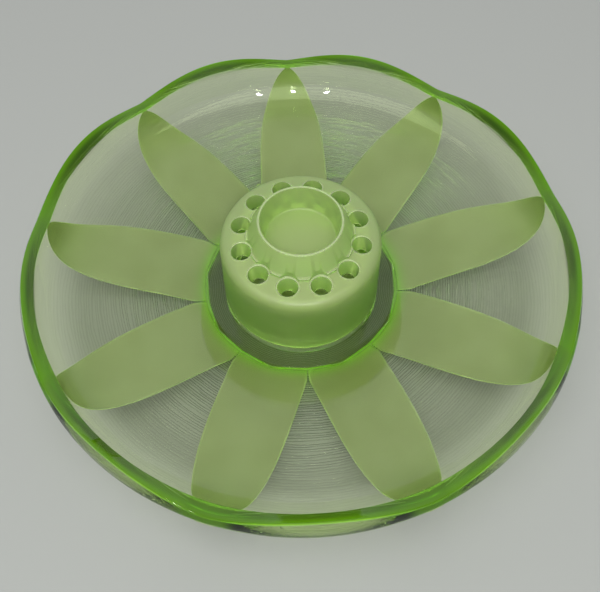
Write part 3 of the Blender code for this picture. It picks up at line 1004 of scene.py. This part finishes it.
@dataclass(frozen=True)
class FrogSizes:
    """The flower frog's sizes. Heights are above its foot."""

    seat: float = 8.3 * MM
    radius: float = 50.8 * MM
    draft: float = 2.4 * MM
    plate_height: float = 51.3 * MM
    plate_fall: float = 1.4 * MM
    shoulder_width: float = 5.2 * MM
    wall: float = 7.0 * MM
    plate_thickness: float = 11.2 * MM
    foot_chamfer: float = 0.8 * MM
    ledge_radius: float = 32.6 * MM
    ledge_height: float = 2.1 * MM
    cup_foot: float = 31.2 * MM
    cup_lip: float = 25.0 * MM
    cup_height: float = 65.7 * MM
    lip_width: float = 1.1 * MM
    cup_floor_radius: float = 21.5 * MM
    cup_floor_height: float = 48.4 * MM
    fillet: float = 1.5 * MM
    holes: int = 12
    hole_circle: float = 36.8 * MM
    hole_mouth: float = 6.0 * MM
    hole_end: float = 4.1 * MM
    mouth_round: float = 0.5 * MM


@dataclass
class Frog:
    """The flower frog: one hollow pressing, etched all over."""

    sizes: FrogSizes = field(default_factory=FrogSizes)
    segments: int = 168
    corner_steps: int = 8
    hole_segments: int = 32
    flare_steps: int = 6
    cut_below: float = 3 * MM
    cut_above: float = 5 * MM
    cut_clear: float = 0.6 * MM
    neck_drop: float = 1.2 * MM
    # widths of the painted highlight bands along the lip, ledge, foot, hole mouths and hole ends
    highlight_lip_width: float = 1.1 * MM
    highlight_ledge_width: float = 0.9 * MM
    highlight_foot_width: float = 1.6 * MM
    highlight_mouth_width: float = 0.8 * MM
    highlight_hole_end_width: float = 1.0 * MM

    def finish(self) -> EtchedFrogGlass:
        """Sets out the frog's finish, with its painted edge highlights where this frog has them.

        Returns:
            The etched glass.
        """
        s = self.sizes
        top = s.seat + s.plate_height
        # painted highlight bands: the lip, ledge and foot rings, then the hole mouths and the holes' lower
        # ends
        rings = (
            (s.cup_lip - s.lip_width * 0.6, s.seat + s.cup_height, self.highlight_lip_width),
            (s.ledge_radius, top + s.ledge_height, self.highlight_ledge_width),
            (s.radius, s.seat + s.foot_chamfer, self.highlight_foot_width),
        )
        mouths = (
            (s.hole_mouth + s.mouth_round * 0.5, top - s.plate_fall * 0.25, self.highlight_mouth_width),
            (s.hole_end, top - s.plate_thickness, self.highlight_hole_end_width),
        )
        return EtchedFrogGlass(
            "etched_frog_glass",
            "#e8f5b0",
            "#dcefa0",
            roughness=0.33,
            transmission=0.9,
            # painted glow: a faint emission to brighten the frog
            painted_glow=0.012,
            rings=rings,
            mouths=mouths,
            hole_circle=s.hole_circle,
            hole_sector=math.tau / s.holes,
        )

    def corners(self) -> list[tuple[float, float, float]]:
        """Lists the turned section's corners.

        Returns:
            Radius, height and rounding of each corner, from the hollow's roof round the outside to
            the cup's floor.
        """
        s = self.sizes
        roof, top = s.plate_height - s.plate_thickness, s.radius - s.draft
        inside, slant = s.radius - s.wall, s.plate_height - s.plate_fall
        return [
            (top - s.wall, roof, s.fillet * 1.4),
            (inside, s.foot_chamfer, 0.0),
            (inside + s.foot_chamfer, 0.0, 0.0),
            (s.radius - s.foot_chamfer, 0.0, 0.2 * MM),
            (s.radius, s.foot_chamfer, 0.2 * MM),
            (top, slant, s.shoulder_width),
            (s.ledge_radius, s.plate_height, 0.4 * MM),
            (s.ledge_radius, s.plate_height + s.ledge_height, 0.5 * MM),
            (s.cup_foot, s.plate_height + s.ledge_height, 0.5 * MM),
            (s.cup_lip, s.cup_height, s.lip_width / 2),
            (s.cup_lip - s.lip_width * 1.3, s.cup_height, s.lip_width / 2),
            (s.cup_floor_radius, s.cup_floor_height, s.fillet),
        ]

    def profile(self) -> list[tuple[float, float]]:
        """Rounds the section's corners.

        Returns:
            Radius and height of each point.
        """
        corners = [(0.0, self.corners()[0][1], 0.0), *self.corners(), (0.0, self.sizes.cup_floor_height, 0.0)]
        points: list[tuple[float, float]] = []
        for before, corner, after in zip(corners, corners[1:], corners[2:]):
            here = Vector(corner[:2])
            back = Vector(before[:2]) - here
            on = Vector(after[:2]) - here
            reach = min(corner[2], back.length * 0.45, on.length * 0.45)
            if reach <= 0:
                points.append(tuple(here))
                continue
            start, end = here + back.normalized() * reach, here + on.normalized() * reach
            for step in range(self.corner_steps + 1):
                t = step / self.corner_steps
                point = start * (1 - t) ** 2 + here * 2 * t * (1 - t) + end * t * t
                points.append(tuple(point))
        return points

    def turned(self) -> bpy.types.Mesh:
        """Turns the section about the axis.

        Returns:
            The closed body without its stem holes.
        """
        mesh, rings = bmesh.new(), []
        seat = self.sizes.seat
        for radius, height in self.profile():
            ring = []
            for turn in range(self.segments):
                angle = math.tau * turn / self.segments
                x, y = radius * math.sin(angle), radius * math.cos(angle)
                ring.append(mesh.verts.new((x, y, height + seat)))
            rings.append(ring)
        low = mesh.verts.new((0, 0, self.profile()[0][1] + seat))
        high = mesh.verts.new((0, 0, self.profile()[-1][1] + seat))
        for n in range(self.segments):
            after = (n + 1) % self.segments
            mesh.faces.new((low, rings[0][after], rings[0][n]))
            mesh.faces.new((high, rings[-1][n], rings[-1][after]))
            for inner, outer in zip(rings, rings[1:]):
                mesh.faces.new((inner[n], inner[after], outer[after], outer[n]))
        return closed_mesh("frog_turned", mesh)

    def hole_cutter(self) -> bpy.types.Object:
        """Makes one stem hole's cutter, flared where it meets the plate's top.

        Returns:
            The cutter's object, in its place.
        """
        s, mesh, rings = self.sizes, bmesh.new(), []
        top = s.plate_height - s.plate_fall * 0.25
        low = s.plate_height - s.plate_thickness
        slope = (s.hole_mouth - s.hole_end) / s.plate_thickness
        below, neck, above, clear = self.cut_below, self.neck_drop, self.cut_above, self.cut_clear
        lines = [(s.hole_end - slope * below, low - below), (s.hole_mouth - slope * neck, top - neck)]
        for step in range(self.flare_steps + 1):
            turn = math.pi / 2 * step / self.flare_steps
            flare = s.mouth_round * (1 - math.cos(turn))
            lines.append((s.hole_mouth + flare, top - s.mouth_round * 0.8 * (1 - math.sin(turn))))
        lines += [(s.hole_mouth + s.mouth_round + clear, top + rise) for rise in (0.4 * MM, above)]
        count = self.hole_segments
        for radius, height in lines:
            ring = []
            for n in range(count):
                angle = math.tau * n / count
                x, y = radius * math.sin(angle), radius * math.cos(angle) + s.hole_circle
                ring.append(mesh.verts.new((x, y, height + s.seat)))
            rings.append(ring)
        mesh.faces.new(rings[0][::-1])
        mesh.faces.new(rings[-1])
        for n in range(count):
            after = (n + 1) % count
            for lower, upper in zip(rings, rings[1:]):
                mesh.faces.new((lower[n], lower[after], upper[after], upper[n]))
        return show("stem_hole_cutter", closed_mesh("stem_hole_cutter", mesh))

    def build(self) -> bpy.types.Object:
        """Builds and dresses the frog.

        Returns:
            The frog's object.
        """
        frog = show("flower_frog_body", self.turned())
        half = math.pi / self.sizes.holes
        cutters = RoundRepeat().apply(self.hole_cutter(), self.sizes.holes, first_angle=half)
        cutter = show("stem_hole_cutters", cutters)
        cut = frog.modifiers.new("stem_holes", "BOOLEAN")
        cut.operation, cut.solver, cut.object = "DIFFERENCE", "EXACT", cutter
        bpy.context.view_layer.update()
        mesh = bpy.data.meshes.new_from_object(frog.evaluated_get(bpy.context.evaluated_depsgraph_get()))
        frog.modifiers.remove(cut)
        frog.data = mesh
        bpy.data.objects.remove(cutter, do_unlink=True)
        mesh.materials.clear()
        mesh.materials.append(self.finish().build())
        finish_mesh(frog, 40)
        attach(frog, "frog")
        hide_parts("flower_frog")
        report(frog)
        return frog


@dataclass
class Studio:
    """The plain floor, the soft lights and the camera."""

    floor_colour: str = "#a3a5a1"
    floor_size: float = 6.0
    floor_roughness: float = 0.45
    floor_drop: float = 0.2 * MM
    sky: str = "#e4e6e6"
    sky_strength: float = 0.30
    lobes: tuple[tuple[Point, float, float], ...] = (
        ((0.0, -0.9, 0.35), 0.5, 0.3),
        ((0.0, 0.85, 0.5), 0.6, 0.3),
    )
    camera_place: Point = (-11.1 * MM, -205.7 * MM, 348.5 * MM)
    turn: float = -2.862
    elevation: float = 60.40
    roll: float = -0.707
    lens: float = 35.777

    def build_floor(self) -> None:
        """Lays a plain pale floor under the bowl."""
        half = self.floor_size / 2
        corners = [(-half, -half), (half, -half), (half, half), (-half, half)]
        mesh = bpy.data.meshes.new("floor")
        mesh.from_pydata([(x, y, -self.floor_drop) for x, y in corners], [], [(0, 1, 2, 3)])
        floor = show("floor", mesh)
        values = {"Base Color": linear(self.floor_colour), "Roughness": self.floor_roughness}
        mesh.materials.append(new_finish("painted_board", values)[0])

    def build_lights(self) -> None:
        """Lights the scene with a sky that is brighter on two sides, a ceiling box and three lamps."""
        world = bpy.data.worlds.new("soft_sky")
        world.use_nodes = True
        tree = world.node_tree
        way = add_node(tree, "ShaderNodeTexCoord", {}, {}).outputs["Generated"]
        total: Any = self.sky_strength
        for aim, power, spread in self.lobes:
            facing = {0: way, 1: Vector(aim).normalized()}
            toward = add_node(tree, "ShaderNodeVectorMath", {"operation": "DOT_PRODUCT"}, facing)
            near = {"Value": toward.outputs["Value"], "From Min": spread, "To Max": power}
            lobe = add_node(tree, "ShaderNodeMapRange", {"interpolation_type": "SMOOTHERSTEP"}, near)
            both = {0: lobe.outputs[0], 1: total}
            total = add_node(tree, "ShaderNodeMath", {"operation": "ADD"}, both).outputs[0]
        back = tree.nodes["Background"]
        back.inputs["Color"].default_value = linear(self.sky)
        tree.links.new(total, back.inputs["Strength"])
        bpy.context.scene.world = world
        boxes = [
            ("ceiling_box", (-0.15, -0.45, 1.5), (1.8, 1.4), 20.0, False),
            ("ceiling_lamp_left", (-0.29, -0.98, 1.22), (0.035, 0.34), 1.8, True),
            ("ceiling_lamp_middle", (0.0, -1.0, 1.22), (0.035, 0.34), 1.8, True),
            ("ceiling_lamp_right", (0.29, -0.98, 1.22), (0.035, 0.34), 1.8, True),
        ]
        for name, place, size, power, mirrored in boxes:
            light = bpy.data.lights.new(name, "AREA")
            light.shape, light.size, light.size_y, light.energy = "RECTANGLE", *size, power
            lamp = bpy.data.objects.new(name, light)
            aim = Vector((0, 0, 0.03)) - Vector(place)
            lamp.visible_camera = False
            lamp.visible_glossy = mirrored
            lamp.matrix_world = Matrix.Translation(place) @ aim.to_track_quat("-Z", "Y").to_matrix().to_4x4()
            bpy.context.scene.collection.objects.link(lamp)

    def build_camera(self) -> None:
        """Stands the camera in front of the bowl, looking down into it."""
        rise, roll = math.radians(self.elevation), math.radians(self.roll)
        back = Vector((0.0, -math.cos(rise), math.sin(rise)))
        right, up = Vector((1.0, 0.0, 0.0)), Vector((0.0, math.sin(rise), math.cos(rise)))
        rolled = [
            right * math.cos(roll) + up * math.sin(roll),
            up * math.cos(roll) - right * math.sin(roll),
            back,
        ]
        turn = Matrix.Rotation(math.radians(self.turn), 3, "Z")
        axes = Matrix([turn @ axis for axis in rolled]).transposed()
        lens = bpy.data.cameras.new("camera")
        lens.lens, lens.sensor_width, lens.clip_start = self.lens, 36.0, 0.01
        camera = bpy.data.objects.new("camera", lens)
        camera.matrix_world = Matrix.Translation(self.camera_place) @ axes.to_4x4()
        bpy.context.scene.collection.objects.link(camera)
        bpy.context.scene.camera = camera

    def build(self) -> None:
        """Builds the floor, the lights and the camera."""
        self.build_floor()
        self.build_lights()
        self.build_camera()
        bpy.context.scene.view_settings.view_transform = "Standard"


def main() -> None:
    """Builds the bowl, the frog and the studio."""
    logging.basicConfig(level=logging.INFO, format="%(name)s: %(message)s")
    Bowl().build()
    Frog().build()
    Studio().build()


if __name__ == "__main__":
    main()
